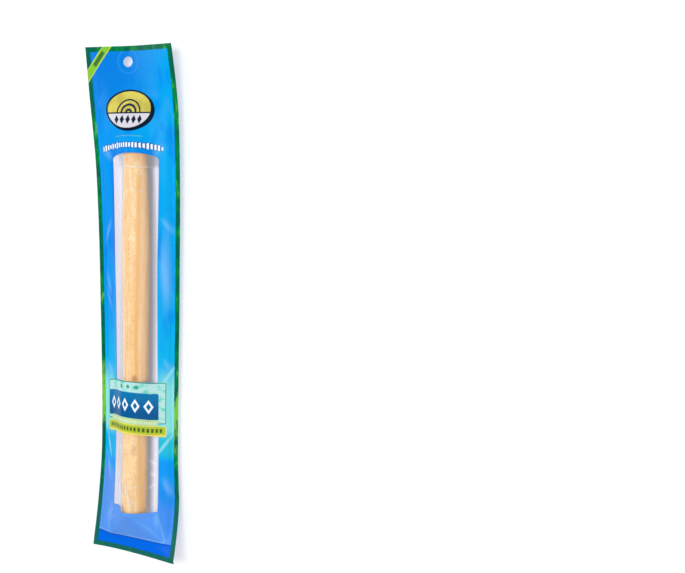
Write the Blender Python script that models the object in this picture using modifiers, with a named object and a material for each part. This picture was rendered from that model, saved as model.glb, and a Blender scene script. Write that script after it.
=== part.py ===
"""A miswak chewing stick, sealed in a clear sleeve inside a flat printed pouch with a long window.

The pouch lies on its back: X is its width, +Y runs to the header with the hang hole, +Z is up, out of the
window. The origin is on the flat strip of the back film that rests on the table, under the stick.
"""

import math

import bmesh
import bpy
from mathutils import Matrix, Vector

MM = 0.001

# The stick
STICK_LENGTH = 152.4 * MM
STICK_FOOT = -89.4 * MM  # Y of the cut end near the foot of the pouch
STICK_TOP = STICK_FOOT + STICK_LENGTH
CUT_EDGE = 0.5 * MM  # rounding of the sawn rims
STICK_SIDES = 32
STICK_RINGS = 30
# Radius along the stick, from the foot to the top
STICK_RADII = (
    (STICK_FOOT, 5.35 * MM),
    (-70 * MM, 5.55 * MM),
    (-46 * MM, 5.35 * MM),
    (-27 * MM, 5.50 * MM),
    (0, 5.75 * MM),
    (30 * MM, 5.80 * MM),
    (STICK_TOP, 4.95 * MM),
)
# Sideways wander of the stick's axis
STICK_WANDER = (
    (STICK_FOOT, -0.1 * MM),
    (-45 * MM, 0.6 * MM),
    (0, 1.2 * MM),
    (35 * MM, 1.1 * MM),
    (STICK_TOP, 0.4 * MM),
)
# The grown surface lies this far inside that radius between its three soft ribs, which wind a little
RIB_DEPTH = 0.22 * MM
RIB_TURN = math.radians(70)  # over the stick's length
# Knots that fill the hollows: Y, angle from straight up towards +X, height, reach along Y, reach round
KNOTS = (
    (26 * MM, math.radians(82), 0.30 * MM, 9 * MM, 0.60),
    (-31 * MM, math.radians(12), 0.22 * MM, 3 * MM, 0.45),
    (-60 * MM, math.radians(-95), 0.28 * MM, 5 * MM, 0.50),
)

# Films: every sheet is drawn this thick, and neighbours keep this gap
FILM = 0.3 * MM
GAP = 0.3 * MM
LAYER = FILM + GAP
AXIS_OVER_BACK = 2 * LAYER  # the stick's underside lies over the back film and the sleeve's back web

# The pouch
POUCH_LENGTH = 215 * MM
TOP_EDGE = POUCH_LENGTH / 2
FOOT_EDGE = -POUCH_LENGTH / 2
SIDE_SEAL = 3 * MM
FOOT_SEAL = 6.5 * MM
# Half the pouch's width: the stick draws the sides in
HALF_WIDTHS = (
    (FOOT_EDGE, 21.3 * MM),
    (-85 * MM, 19.4 * MM),
    (-62 * MM, 18.2 * MM),
    (0, 18.7 * MM),
    (55 * MM, 19.7 * MM),
    (85 * MM, 20.7 * MM),
    (TOP_EDGE, 21.2 * MM),
)
# The pouch isn't quite straight: its header leans to the left
LEANS = (
    (FOOT_EDGE, -0.2 * MM),
    (-60 * MM, 0.6 * MM),
    (0, 0.8 * MM),
    (60 * MM, 0.1 * MM),
    (TOP_EDGE, -3.2 * MM),
)
# and its foot is cut a little askew, so the right-hand corner reaches this much further
FOOT_SKEW = 1.15 * MM
# Height of the side seals over the table: the stiff film holds the header and the foot up
SEAM_HEIGHTS = (
    (FOOT_EDGE, 3.5 * MM),
    (-95 * MM, 3.0 * MM),
    (-60 * MM, 2.5 * MM),
    (40 * MM, 3.4 * MM),
    (80 * MM, 4.1 * MM),
    (TOP_EDGE, 3.6 * MM),
)
# Corner curls: side (+1 right), end (+1 top), lift, and reach from the corner across and along the pouch
CURLS = (
    (1, 1, 4.5 * MM, 23 * MM, 30 * MM),
    (1, -1, 7.4 * MM, 37 * MM, 25 * MM),
    (-1, 1, 0.6 * MM, 24 * MM, 25 * MM),
)
FLAT_STRIP = 6 * MM  # half the width of the back film that lies on the table
FOOT_ROOF = (-90 * MM, FOOT_EDGE + FOOT_SEAL)  # the front film falls from the stick's end to the foot seal
TOP_ROOF = (65 * MM, 86 * MM)  # and from its top to the flat header
CREST_ROUNDING = 0.45 * MM  # rounding of the roof's crease over the stick's end
HIP_ROUNDING = 1.5 * MM  # and of the two creases that run down to the seams
SLACK = 0.7 * MM  # how far the front film sags beside the stick

# The window and the band that is printed across it
WINDOW_TOP = 61 * MM
WINDOW_FOOT = -87.5 * MM
# Its two sides, measured from the pouch's middle
WINDOW_LEFT = (
    (WINDOW_FOOT, -8.9 * MM),
    (-30 * MM, -7.9 * MM),
    (18 * MM, -8.5 * MM),
    (WINDOW_TOP, -9.4 * MM),
)
WINDOW_RIGHT = (
    (WINDOW_FOOT, 11.2 * MM),
    (-30 * MM, 10.4 * MM),
    (18 * MM, 10.7 * MM),
    (WINDOW_TOP, 11.6 * MM),
)
BAND_TOP = -32.4 * MM
BAND_FOOT = -54.7 * MM
TOP_BOW = 1.8 * MM  # how far the window's top end bows outwards
FOOT_BOW = 0.9 * MM
FOOT_TILT = 0.7 * MM  # and its foot falls this much towards its right-hand corner
# At its left-hand corner the print rises beside the stick: share of the window's half width, rise
FOOT_CORNER = (
    (-1, 0.7 * MM),
    (-0.60, 2.1 * MM),
    (-0.46, 1.7 * MM),
    (-0.42, 0),
    (0, 0),
    (1, 0),
)
WINDOW_LAP = 2 * MM  # how far the clear film runs under the printed one

# The hang hole
HOLE_CENTRE = (-4.1 * MM, 100.9 * MM)
HOLE_RADIUS = 2.2 * MM
HOLE_SIDES = 24

# The sleeve round the stick: half widths of its flat ends and along the stick, and its fins' height
SLEEVE_FOOT = -96.5 * MM
SLEEVE_TOP = 72.5 * MM
SLEEVE_END_HALF = 11.5 * MM
SLEEVE_HALF = 9.6 * MM
SLEEVE_ROOT = 7.7 * MM  # where the fin leaves the tube
SLEEVE_FIN = 3.1 * MM
SLEEVE_CLOSING = 5.5 * MM  # length over which the tube flattens past the stick's ends

# Colours, measured as linear RGB
WOOD = (0.86, 0.60, 0.32)
BLUE = (0.005, 0.31, 0.82)
CLEAR = (0.85, 0.87, 0.92)


def through(points, t):
    """A smooth curve through a few (position, value) points, read at t."""
    at = [p[0] for p in points]
    value = [p[1] for p in points]
    last = len(points) - 1
    t = min(max(t, at[0]), at[-1])
    i = max(k for k in range(last) if at[k] <= t)
    step = at[i + 1] - at[i]

    def slope(k):
        low, high = max(k - 1, 0), min(k + 1, last)
        return (value[high] - value[low]) / (at[high] - at[low])

    u = (t - at[i]) / step
    return (
        value[i] * (1 + 2 * u) * (1 - u) ** 2
        + value[i + 1] * u * u * (3 - 2 * u)
        + slope(i) * step * u * (1 - u) ** 2
        - slope(i + 1) * step * u * u * (1 - u)
    )


def ease(t):
    """0 below 0, 1 above 1, and a smooth step between."""
    t = min(max(t, 0.0), 1.0)
    return t * t * (3 - 2 * t)


def lower_of(a, b, rounding):
    """The lower of two heights, with the crease between them rounded off."""
    gap = max(rounding * 4 - abs(a - b), 0.0) / (rounding * 4)
    return min(a, b) - rounding * gap * gap


def stick_radius(y):
    return through(STICK_RADII, y)


def stick_height(y):
    """Height of the stick's axis: its underside lies straight along the back film."""
    return AXIS_OVER_BACK + stick_radius(y)


def stick_in_pouch(y):
    """X of the stick's axis, measured from the pouch's middle."""
    return through(STICK_WANDER, y) - through(LEANS, y)


def half_width(y):
    return through(HALF_WIDTHS, y)


def seam_height(x, y):
    """Height of the sealed films' underside at a side seam, with the corners' curls."""
    height = through(SEAM_HEIGHTS, y)
    for side, end, lift, across, along in CURLS:
        from_side = (half_width(y) - side * x) / across
        from_end = (POUCH_LENGTH / 2 - end * y) / along
        height += lift * max(0.0, 1 - math.hypot(from_side, from_end)) ** 1.5
    return height


def over_stick(a, root, base, axis, radius, slack=0.0):
    """Height over base of a film that runs from root, straight and tangent, over a round bar."""
    rise = axis - base
    angle = math.atan2(rise, root) + math.asin(min(1.0, radius / math.hypot(root, rise)))
    touch = radius * math.sin(angle)
    if a >= root:
        return 0.0
    if a <= touch:
        return rise + math.sqrt(radius * radius - a * a)
    share = (a - touch) / (root - touch)
    return (root - a) * math.tan(angle) - slack * math.sin(math.pi * share) ** 2


def stick_share(y):
    """1 along the stick, falling to 0 in the flat header and foot."""
    foot = ease((y - FOOT_ROOF[1]) / (FOOT_ROOF[0] - FOOT_ROOF[1]))
    top = ease((TOP_ROOF[1] - y) / (TOP_ROOF[1] - TOP_ROOF[0]))
    return min(foot, top)


def back_height(x, y):
    """Underside of the back film: flat on the table under the stick, rising to the seams."""
    root = half_width(y) - SIDE_SEAL
    rise = ease((abs(x) - FLAT_STRIP) / (root - FLAT_STRIP))
    return seam_height(x, y) * (1 - stick_share(y) * (1 - rise))


def front_height(x, y):
    """Outer face of the front film: a tent over the stick, with a sloped roof past each end."""
    base = seam_height(x, y) + LAYER + FILM
    radius = stick_radius(y) + 3 * LAYER
    beside = x - stick_in_pouch(y)
    root = half_width(y) - SIDE_SEAL - math.copysign(1, beside) * stick_in_pouch(y)
    level = through(SEAM_HEIGHTS, y) + LAYER + FILM
    tent = over_stick(abs(beside), root, level, stick_height(y), radius, SLACK)
    if y < FOOT_ROOF[0]:
        fall = (y - FOOT_ROOF[1]) / (FOOT_ROOF[0] - FOOT_ROOF[1])
    else:
        fall = (TOP_ROOF[1] - y) / (TOP_ROOF[1] - TOP_ROOF[0])
    if fall >= 1:
        return base + tent
    crown = stick_height(y) + radius - level
    hip = ease((crown - tent) / (0.5 * crown))
    rounding = CREST_ROUNDING + (HIP_ROUNDING - CREST_ROUNDING) * hip * max(fall, 0.0)
    return base + max(lower_of(tent, crown * max(fall, 0.0), rounding), 0.0)


def sleeve_half(y):
    """Half the sleeve's width: it flares to its flat width past the stick's ends."""
    past = max(STICK_FOOT - y, y - STICK_TOP, 0.0)
    return SLEEVE_HALF + (SLEEVE_END_HALF - SLEEVE_HALF) * ease(past / SLEEVE_CLOSING)


def sleeve_open(y):
    """1 round the stick, falling to 0 where the two webs meet."""
    past = max(STICK_FOOT - 1.2 * MM - y, y - STICK_TOP - 1.2 * MM, 0.0)
    return 1 - ease(past / SLEEVE_CLOSING)


def sleeve_level(x, y):
    """Height of the fins' lower face: past the stick's ends it stays clear of the back film."""
    clear = back_height(x + stick_in_pouch(y), y) + LAYER + GAP
    return SLEEVE_FIN + max(clear - SLEEVE_FIN, 0.0) * (1 - sleeve_open(y))


def sleeve_front_height(x, y):
    """Outer face of the sleeve's front web."""
    radius = stick_radius(y) + LAYER
    base = SLEEVE_FIN + LAYER + FILM
    hump = over_stick(abs(x), SLEEVE_ROOT, base, stick_height(y), radius)
    return sleeve_level(x, y) + LAYER + FILM + hump * sleeve_open(y)


def sleeve_back_height(x, y):
    """Outer (lower) face of the sleeve's back web."""
    radius = stick_radius(y) + LAYER
    depth = over_stick(abs(x), SLEEVE_ROOT, -SLEEVE_FIN, -stick_height(y), radius)
    return sleeve_level(x, y) - depth * sleeve_open(y)


def film_material(name, colour, roughness, alpha=1.0):
    material = bpy.data.materials.new(name)
    material.use_nodes = True
    shader = material.node_tree.nodes["Principled BSDF"]
    shader.inputs["Base Color"].default_value = (*colour, 1)
    shader.inputs["Roughness"].default_value = roughness
    shader.inputs["Metallic"].default_value = 0
    shader.inputs["Alpha"].default_value = alpha
    return material


def add_object(name, bm, material, collection):
    mesh = bpy.data.meshes.new(name)
    bm.to_mesh(mesh)
    bm.free()
    mesh.materials.append(material)
    mesh.shade_smooth()
    mesh.set_sharp_from_angle(angle=math.radians(40))
    obj = bpy.data.objects.new(name, mesh)
    collection.objects.link(obj)
    return obj


def grown_radius(y, angle):
    """Radius of the stick at this angle from straight up: soft ribs, and knots between them."""
    turn = RIB_TURN * (y - STICK_FOOT) / STICK_LENGTH
    hollow = RIB_DEPTH * (1 - math.cos(3 * (angle - turn))) / 2
    lift = 0.0
    for at, knot_turn, height, along, around in KNOTS:
        away = math.atan2(math.sin(angle - knot_turn), math.cos(angle - knot_turn))
        lift += height * math.exp(-(((y - at) / along) ** 2) - (away / around) ** 2)
    return stick_radius(y) + min(lift - hollow, 0.05 * MM)


def make_stick(material, collection):
    """One grown piece: a cylinder cut into rings, its rims rounded, then moved to the stick's form."""
    bm = bmesh.new()
    turn = Matrix.Rotation(math.radians(-90), 4, "X")
    place = Matrix.Translation((0, (STICK_FOOT + STICK_TOP) / 2, 0)) @ turn
    bmesh.ops.create_cone(
        bm,
        cap_ends=True,
        segments=STICK_SIDES,
        radius1=STICK_RADII[0][1],
        radius2=STICK_RADII[0][1],
        depth=STICK_LENGTH,
        matrix=place,
    )
    rims = [e for e in bm.edges if len({round(v.co.y, 6) for v in e.verts}) == 1]
    bmesh.ops.bevel(bm, geom=rims, offset=CUT_EDGE, segments=2, profile=0.5, affect="EDGES")
    for k in range(1, STICK_RINGS):
        ring = Vector((0, STICK_FOOT + STICK_LENGTH * k / STICK_RINGS, 0))
        everything = bm.verts[:] + bm.edges[:] + bm.faces[:]
        bmesh.ops.bisect_plane(bm, geom=everything, plane_co=ring, plane_no=Vector((0, 1, 0)))
    for v in bm.verts:
        y = v.co.y
        share = math.hypot(v.co.x, v.co.z) / STICK_RADII[0][1]
        angle = math.atan2(v.co.x, v.co.z)
        out = share * grown_radius(y, angle)
        v.co.x = through(STICK_WANDER, y) + out * math.sin(angle)
        v.co.z = stick_height(y) + out * math.cos(angle)
    return add_object("miswak_stick", bm, material, collection)


def film_grid(columns, rows):
    """A flat grid whose lines are moved to the given places."""
    bm = bmesh.new()
    bmesh.ops.create_grid(
        bm, x_segments=len(columns) - 1, y_segments=len(rows) - 1, size=0.5
    )
    for v in bm.verts:
        column = round((v.co.x + 0.5) * (len(columns) - 1))
        row = round((v.co.y + 0.5) * (len(rows) - 1))
        v.co = Vector((columns[column], rows[row], 0))
    return bm


def both_sides(places):
    """Places from the middle outwards, mirrored to the other side."""
    return [-p for p in reversed(places[1:])] + list(places)


def solidify(obj, offset):
    wall = obj.modifiers.new("film", "SOLIDIFY")
    wall.thickness = FILM
    wall.offset = offset
    wall.use_even_offset = False


def spread(low, high, count):
    """count places from just past low up to high, evenly spaced."""
    return [low + (high - low) * (k + 1) / count for k in range(count)]


# Columns of the pouch films: 1 is the window's edge, 2 the seal's inner edge, 3 the pouch's edge
INNER_COLUMNS = [0, 0.14, 0.28, 0.42, 0.58, 0.80, 1]
OUTER_COLUMNS = [1.5, 2, 3]
LAP_COLUMN = 1.2  # edge of the clear film


def window_x(column, y):
    left, right = through(WINDOW_LEFT, y), through(WINDOW_RIGHT, y)
    return (left + right) / 2 + column * (right - left) / 2


def column_x(column, y):
    """X of a pouch column, measured from the pouch's middle."""
    side, place = math.copysign(1, column), abs(column)
    if place <= 1:
        return window_x(column, y)
    edge = window_x(side, y)
    root = side * (half_width(y) - SIDE_SEAL)
    if place <= 2:
        return edge + (root - edge) * (place - 1)
    return root + side * SIDE_SEAL * (place - 2)


POUCH_ROWS = (
    [FOOT_EDGE]
    + spread(FOOT_EDGE, FOOT_ROOF[1], 1)
    + spread(FOOT_ROOF[1], FOOT_ROOF[0], 4)
    + spread(FOOT_ROOF[0], WINDOW_FOOT, 1)
    + spread(WINDOW_FOOT, BAND_FOOT, 3)
    + spread(BAND_FOOT, BAND_TOP, 2)
    + spread(BAND_TOP, WINDOW_TOP, 7)
    + spread(WINDOW_TOP, TOP_ROOF[0], 1)
    + spread(TOP_ROOF[0], TOP_ROOF[1], 5)
    + spread(TOP_ROOF[1], TOP_EDGE, 3)
)


def row_y(column, row):
    """Y of a row at a column: the window's ends bow outwards, and the foot is askew."""
    bow = max(0.0, 1 - column**2)
    if abs(row - WINDOW_TOP - WINDOW_LAP / 2) < 0.6 * WINDOW_LAP:
        return row + TOP_BOW * bow
    if abs(row - WINDOW_FOOT + WINDOW_LAP / 2) < 0.6 * WINDOW_LAP:
        tilt = math.copysign(min(abs(column), max(0.0, 2 - abs(column))), column)
        return row - FOOT_BOW * bow - FOOT_TILT * tilt + through(FOOT_CORNER, column)
    share = column_x(column, row) / half_width(row)
    return row - FOOT_SKEW * share * ease((FOOT_ROOF[0] - row) / (FOOT_ROOF[0] - FOOT_EDGE))


def drape(bm, height, place_x=column_x):
    """Moves a flat grid to the pouch's outline and to the given height."""
    for v in bm.verts:
        x, y = place_x(v.co.x, v.co.y), row_y(v.co.x, v.co.y)
        v.co = Vector((x + through(LEANS, y), y, height(x, y)))


def hole_cutter(collection):
    bm = bmesh.new()
    place = Matrix.Translation((*HOLE_CENTRE, 0))
    bmesh.ops.create_cone(
        bm,
        cap_ends=True,
        segments=HOLE_SIDES,
        radius1=HOLE_RADIUS,
        radius2=HOLE_RADIUS,
        depth=40 * MM,
        matrix=place,
    )
    cutter = add_object("hang_hole_cutter", bm, bpy.data.materials["printed_film"], collection)
    cutter.hide_render = True
    cutter.display_type = "WIRE"
    return cutter


def punch(obj, cutter):
    hole = obj.modifiers.new("hang_hole", "BOOLEAN")
    hole.operation = "DIFFERENCE"
    hole.solver = "EXACT"
    hole.object = cutter


def make_pouch_back(material, collection, cutter):
    bm = film_grid(both_sides(INNER_COLUMNS + OUTER_COLUMNS), POUCH_ROWS)
    drape(bm, back_height)
    obj = add_object("pouch_back", bm, material, collection)
    solidify(obj, 1)
    punch(obj, cutter)
    return obj


def in_window(face):
    """True for a grid face inside one of the two openings, above or below the printed band."""
    middle = face.calc_center_median()
    inside = abs(middle.x) < 1
    upper = BAND_TOP < middle.y < WINDOW_TOP
    lower = WINDOW_FOOT < middle.y < BAND_FOOT
    return inside and (upper or lower)


def make_pouch_front(material, collection, cutter):
    bm = film_grid(both_sides(INNER_COLUMNS + OUTER_COLUMNS), POUCH_ROWS)
    openings = [f for f in bm.faces if in_window(f)]
    bmesh.ops.delete(bm, geom=openings, context="FACES")
    drape(bm, front_height)
    obj = add_object("pouch_front", bm, material, collection)
    solidify(obj, -1)
    punch(obj, cutter)
    return obj


def make_window_film(material, collection):
    """The clear film lies under the printed one, and follows its form one layer further in."""
    columns = both_sides(INNER_COLUMNS + [LAP_COLUMN])
    rows = [y for y in POUCH_ROWS if WINDOW_FOOT <= y <= WINDOW_TOP]
    rows = [WINDOW_FOOT - WINDOW_LAP] + rows + [WINDOW_TOP + WINDOW_LAP]
    bm = film_grid(columns, rows)
    drape(bm, front_height, window_x)
    bm.normal_update()
    inwards = [(v, v.co - v.normal * LAYER) for v in bm.verts]
    for v, place in inwards:
        v.co = place
    obj = add_object("window_film", bm, material, collection)
    solidify(obj, -1)
    return obj


SLEEVE_COLUMNS = [p * MM for p in (0, 1.6, 3.1, 4.4, 5.4, 6.2)]
SLEEVE_ROWS = (
    [SLEEVE_FOOT]
    + spread(SLEEVE_FOOT, STICK_FOOT - 1.2 * MM, 4)
    + spread(STICK_FOOT - 1.2 * MM, STICK_TOP + 1.2 * MM, 12)
    + spread(STICK_TOP + 1.2 * MM, SLEEVE_TOP, 4)
)


def make_sleeve_web(name, height, offset, material, collection):
    """One web of the sleeve: it hugs half of the stick, and its fins lie beside it."""
    columns = both_sides(SLEEVE_COLUMNS + [SLEEVE_ROOT, SLEEVE_HALF])
    bm = film_grid(columns, SLEEVE_ROWS)
    for v in bm.verts:
        x, y = v.co.x, v.co.y
        if abs(x) > SLEEVE_ROOT:
            x = math.copysign(sleeve_half(y), x)
        v.co = Vector((x + through(STICK_WANDER, y), y, height(x, y)))
    obj = add_object(name, bm, material, collection)
    solidify(obj, offset)
    return obj


def main():
    for old in list(bpy.data.objects):
        bpy.data.objects.remove(old)
    parts = bpy.data.collections.new("miswak_stick_in_pouch")
    cutters = bpy.data.collections.new("cutters")
    bpy.context.scene.collection.children.link(parts)
    bpy.context.scene.collection.children.link(cutters)

    wood = film_material("wood", WOOD, 0.55)
    print_film = film_material("printed_film", BLUE, 0.3)
    clear_film = film_material("clear_film", CLEAR, 0.1, alpha=0.35)
    sleeve_film = film_material("sleeve_film", CLEAR, 0.15, alpha=0.35)

    cutter = hole_cutter(cutters)
    make_stick(wood, parts)
    make_sleeve_web("sleeve_front", sleeve_front_height, -1, sleeve_film, parts)
    make_sleeve_web("sleeve_back", sleeve_back_height, 1, sleeve_film, parts)
    make_window_film(clear_film, parts)
    make_pouch_front(print_film, parts, cutter)
    make_pouch_back(print_film, parts, cutter)


main()
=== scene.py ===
# %% [markdown]
# # A miswak stick in its pouch
#
# A miswak is a chewing stick: a root as thick as a finger, peeled and sawn to length. This one is sold lying
# in a clear soft sleeve, inside a flat pouch of printed plastic film with a long window.
#
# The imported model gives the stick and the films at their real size. Here each of them gets its finished
# surface: the root its fibres and knots, the films their creases, print and gloss. Everything is in metres,
# with X across the pouch, Y along the stick towards the hang hole, and Z up out of the window.

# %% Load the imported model
import math

import bmesh
import bpy
from mathutils import Matrix, Vector, noise


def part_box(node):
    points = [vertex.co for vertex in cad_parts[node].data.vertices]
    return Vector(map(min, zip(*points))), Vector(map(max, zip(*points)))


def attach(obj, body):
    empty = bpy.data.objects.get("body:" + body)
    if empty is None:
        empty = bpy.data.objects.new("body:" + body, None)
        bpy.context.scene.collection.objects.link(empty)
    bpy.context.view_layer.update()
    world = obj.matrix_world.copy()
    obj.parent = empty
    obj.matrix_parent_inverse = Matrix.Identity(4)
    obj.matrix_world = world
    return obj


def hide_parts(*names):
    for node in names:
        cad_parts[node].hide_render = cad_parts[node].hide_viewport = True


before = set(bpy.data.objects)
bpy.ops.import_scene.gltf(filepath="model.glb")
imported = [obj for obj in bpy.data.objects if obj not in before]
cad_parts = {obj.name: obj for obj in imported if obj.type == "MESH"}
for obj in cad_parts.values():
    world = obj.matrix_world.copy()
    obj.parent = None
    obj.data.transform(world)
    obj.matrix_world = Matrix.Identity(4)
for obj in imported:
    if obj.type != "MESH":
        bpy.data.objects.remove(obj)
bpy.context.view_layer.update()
MM = 0.001
print("nodes:", sorted(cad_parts))

# %% [markdown]
# ## The camera
#
# The pouch lies on a table and the camera looks down on it from its right side, 29 degrees off straight
# above. A camera could be aimed with a Track To constraint, but here the pouch has to sit at the left of the
# picture, so the aim is worked out: first straight at the stick, then turned until the stick's middle falls
# on its place in the picture. The lens stays unshifted, so that other views can be taken with the same
# camera.

# %% Place and aim the camera
PICTURE = (685, 573)  # pixels
SENSOR = 36 * MM
FOCAL_PIXELS = 1205
AIM = Vector((0, 0, 6 * MM))
AIM_PIXEL = (134.9, 302.7)
CAMERA_DISTANCE = 516 * MM
CAMERA_SIDE = math.radians(29)
CAMERA_RISE = math.radians(4.8)

backwards = Vector((
    math.sin(CAMERA_SIDE) * math.cos(CAMERA_RISE),
    math.sin(CAMERA_RISE),
    math.cos(CAMERA_SIDE) * math.cos(CAMERA_RISE),
))
ahead = -backwards
right = ahead.cross(Vector((0, 1, 0))).normalized()
up = right.cross(ahead)
in_view = Vector((
    (AIM_PIXEL[0] - PICTURE[0] / 2) / FOCAL_PIXELS,
    (PICTURE[1] / 2 - AIM_PIXEL[1]) / FOCAL_PIXELS,
    1,
)).normalized()
sideways = Matrix.Rotation(math.atan2(in_view.x, in_view.z), 3, "Y")
upwards = Matrix.Rotation(-math.asin(in_view.y), 3, "X")
turned = sideways @ upwards @ Matrix((right, up, ahead))
facing = Matrix((turned[0], turned[1], -turned[2])).transposed()

lens = bpy.data.cameras.new("camera")
lens.sensor_width = SENSOR / MM
lens.lens = FOCAL_PIXELS / PICTURE[0] * SENSOR / MM
lens.clip_start = 5 * MM
camera = bpy.data.objects.new("camera", lens)
bpy.context.scene.collection.objects.link(camera)
camera.matrix_world = Matrix.Translation(AIM + backwards * CAMERA_DISTANCE) @ facing.to_4x4()
bpy.context.scene.camera = camera
print(f"lens {lens.lens:.1f} mm, {CAMERA_DISTANCE:.3f} m from the stick")

# %% [markdown]
# ## The form that the films follow
#
# The films are stiff and thin, so their form comes from a few things: the stick's thickness, the straight
# heat seals along the edges, and the flat strip that rests on the table. Sculpting such a form by hand would
# lose the tight fit over the stick. Here it is written down once as heights over the table, and every film is
# then moved to it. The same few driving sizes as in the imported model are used, so each film stays in its
# place.

# %% Curves through a few points
def through(points, t):
    """A smooth curve through a few (position, value) points, read at t."""
    at = [p[0] for p in points]
    value = [p[1] for p in points]
    last = len(points) - 1
    t = min(max(t, at[0]), at[-1])
    i = max(k for k in range(last) if at[k] <= t)
    step = at[i + 1] - at[i]

    def slope(k):
        low, high = max(k - 1, 0), min(k + 1, last)
        return (value[high] - value[low]) / (at[high] - at[low])

    u = (t - at[i]) / step
    return (
        value[i] * (1 + 2 * u) * (1 - u) ** 2
        + value[i + 1] * u * u * (3 - 2 * u)
        + slope(i) * step * u * (1 - u) ** 2
        - slope(i + 1) * step * u * u * (1 - u)
    )


def ease(t):
    """0 below 0, 1 above 1, and a smooth step between."""
    t = min(max(t, 0.0), 1.0)
    return t * t * (3 - 2 * t)


def millimetres(*rows):
    """Rows of sizes written in millimetres, turned into metres."""
    return tuple(tuple(size * MM for size in row) for row in rows)


# %% Sizes of the stick
stick_low, stick_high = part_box("miswak_stick")
STICK_FOOT = stick_low.y
STICK_TOP = stick_high.y
STICK_LENGTH = STICK_TOP - STICK_FOOT
STICK_RADII = millimetres(
    (STICK_FOOT / MM, 5.35), (-70, 5.55), (-46, 5.35), (-27, 5.50),
    (0, 5.75), (30, 5.80), (STICK_TOP / MM, 4.95),
)
STICK_WANDER = millimetres(
    (STICK_FOOT / MM, -0.1), (-45, 0.6), (0, 1.2), (35, 1.1), (STICK_TOP / MM, 0.4)
)
LAYER = 0.6 * MM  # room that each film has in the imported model
STICK_LIFT = 2 * LAYER  # the stick's underside over the table
TENT_ROOM = 2.4 * LAYER  # the front film's upper face over the stick
SEAM_ROOM = 1.5 * LAYER  # and over the middle of the seals


def stick_radius(y):
    return through(STICK_RADII, y)


def stick_middle(y):
    """X of the stick's middle."""
    return through(STICK_WANDER, y)


def stick_height(y):
    """Height of the stick's middle over the table."""
    return STICK_LIFT + stick_radius(y)


print(f"stick {STICK_LENGTH / MM:.0f} mm long, {2 * stick_radius(0) / MM:.1f} mm thick")

# %% Sizes of the pouch
POUCH_LENGTH = 215 * MM
TOP_EDGE = POUCH_LENGTH / 2
FOOT_EDGE = -POUCH_LENGTH / 2
FILM_WIDTH = 42.8 * MM  # flat width of both pouch films
SIDE_SEAL = 3 * MM
FOOT_SEAL = 6.5 * MM
HALF_WIDTHS = millimetres(
    (FOOT_EDGE / MM, 21.3), (-85, 19.4), (-62, 18.2), (0, 18.7),
    (55, 19.7), (85, 20.7), (TOP_EDGE / MM, 21.2),
)
LEANS = millimetres(
    (FOOT_EDGE / MM, -0.2), (-60, 0.6), (0, 0.8), (60, 0.1), (TOP_EDGE / MM, -3.2)
)
FOOT_SKEW = 1.15 * MM  # the foot is cut askew: its right-hand corner reaches this much further
SEAM_HEIGHTS = millimetres(
    (FOOT_EDGE / MM, 3.5), (-95, 3.0), (-60, 2.5), (40, 3.4), (80, 4.1), (TOP_EDGE / MM, 3.6)
)
CURLS = (  # side, end, lift, reach from the corner across and along the pouch
    (1, 1, 4.5 * MM, 23 * MM, 30 * MM),
    (1, -1, 7.4 * MM, 37 * MM, 25 * MM),
    (-1, 1, 0.6 * MM, 24 * MM, 25 * MM),
)
FLAT_STRIP = 6 * MM  # half the width of the back film that lies on the table
FOOT_ROOF = (-90 * MM, FOOT_EDGE + FOOT_SEAL)
TOP_ROOF = (65 * MM, 86 * MM)
CREST_ROUNDING = 0.45 * MM
HIP_ROUNDING = 1.5 * MM
FOOT_ROUNDING = 0.35 * MM  # where a roof meets the flat header or the foot
SLACK = 0.7 * MM


def half_width(y):
    return through(HALF_WIDTHS, y)


def lean(y):
    return through(LEANS, y)


def stick_in_pouch(y):
    """X of the stick's middle, measured from the pouch's middle."""
    return stick_middle(y) - lean(y)


def seam_height(x, y):
    """Height of the side seals over the table, with the corners' curls."""
    height = through(SEAM_HEIGHTS, y)
    for side, end, lift, across, along in CURLS:
        from_side = (half_width(y) - side * x) / across
        from_end = (POUCH_LENGTH / 2 - end * y) / along
        height += lift * max(0.0, 1 - math.hypot(from_side, from_end)) ** 1.5
    return height


def over_stick(a, root, rise, radius, slack=0.0):
    """Height of a film at a from the middle: round over a bar, then straight down to its root."""
    angle = math.atan2(rise, root) + math.asin(min(1.0, radius / math.hypot(root, rise)))
    touch = radius * math.sin(angle)
    if a >= root:
        return 0.0
    if a <= touch:
        return rise + math.sqrt(radius * radius - a * a)
    share = (a - touch) / (root - touch)
    return (root - a) * math.tan(angle) - slack * math.sin(math.pi * share) ** 2


def stick_share(y):
    """1 along the stick, falling to 0 in the flat header and foot."""
    foot = ease((y - FOOT_ROOF[1]) / (FOOT_ROOF[0] - FOOT_ROOF[1]))
    top = ease((TOP_ROOF[1] - y) / (TOP_ROOF[1] - TOP_ROOF[0]))
    return min(foot, top)


def lower_of(a, b, rounding):
    """The lower of two heights, with the crease between them rounded off."""
    gap = max(rounding * 4 - abs(a - b), 0.0) / (rounding * 4)
    return min(a, b) - rounding * gap * gap


def upper_of(a, b, rounding):
    return -lower_of(-a, -b, rounding)


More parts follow.
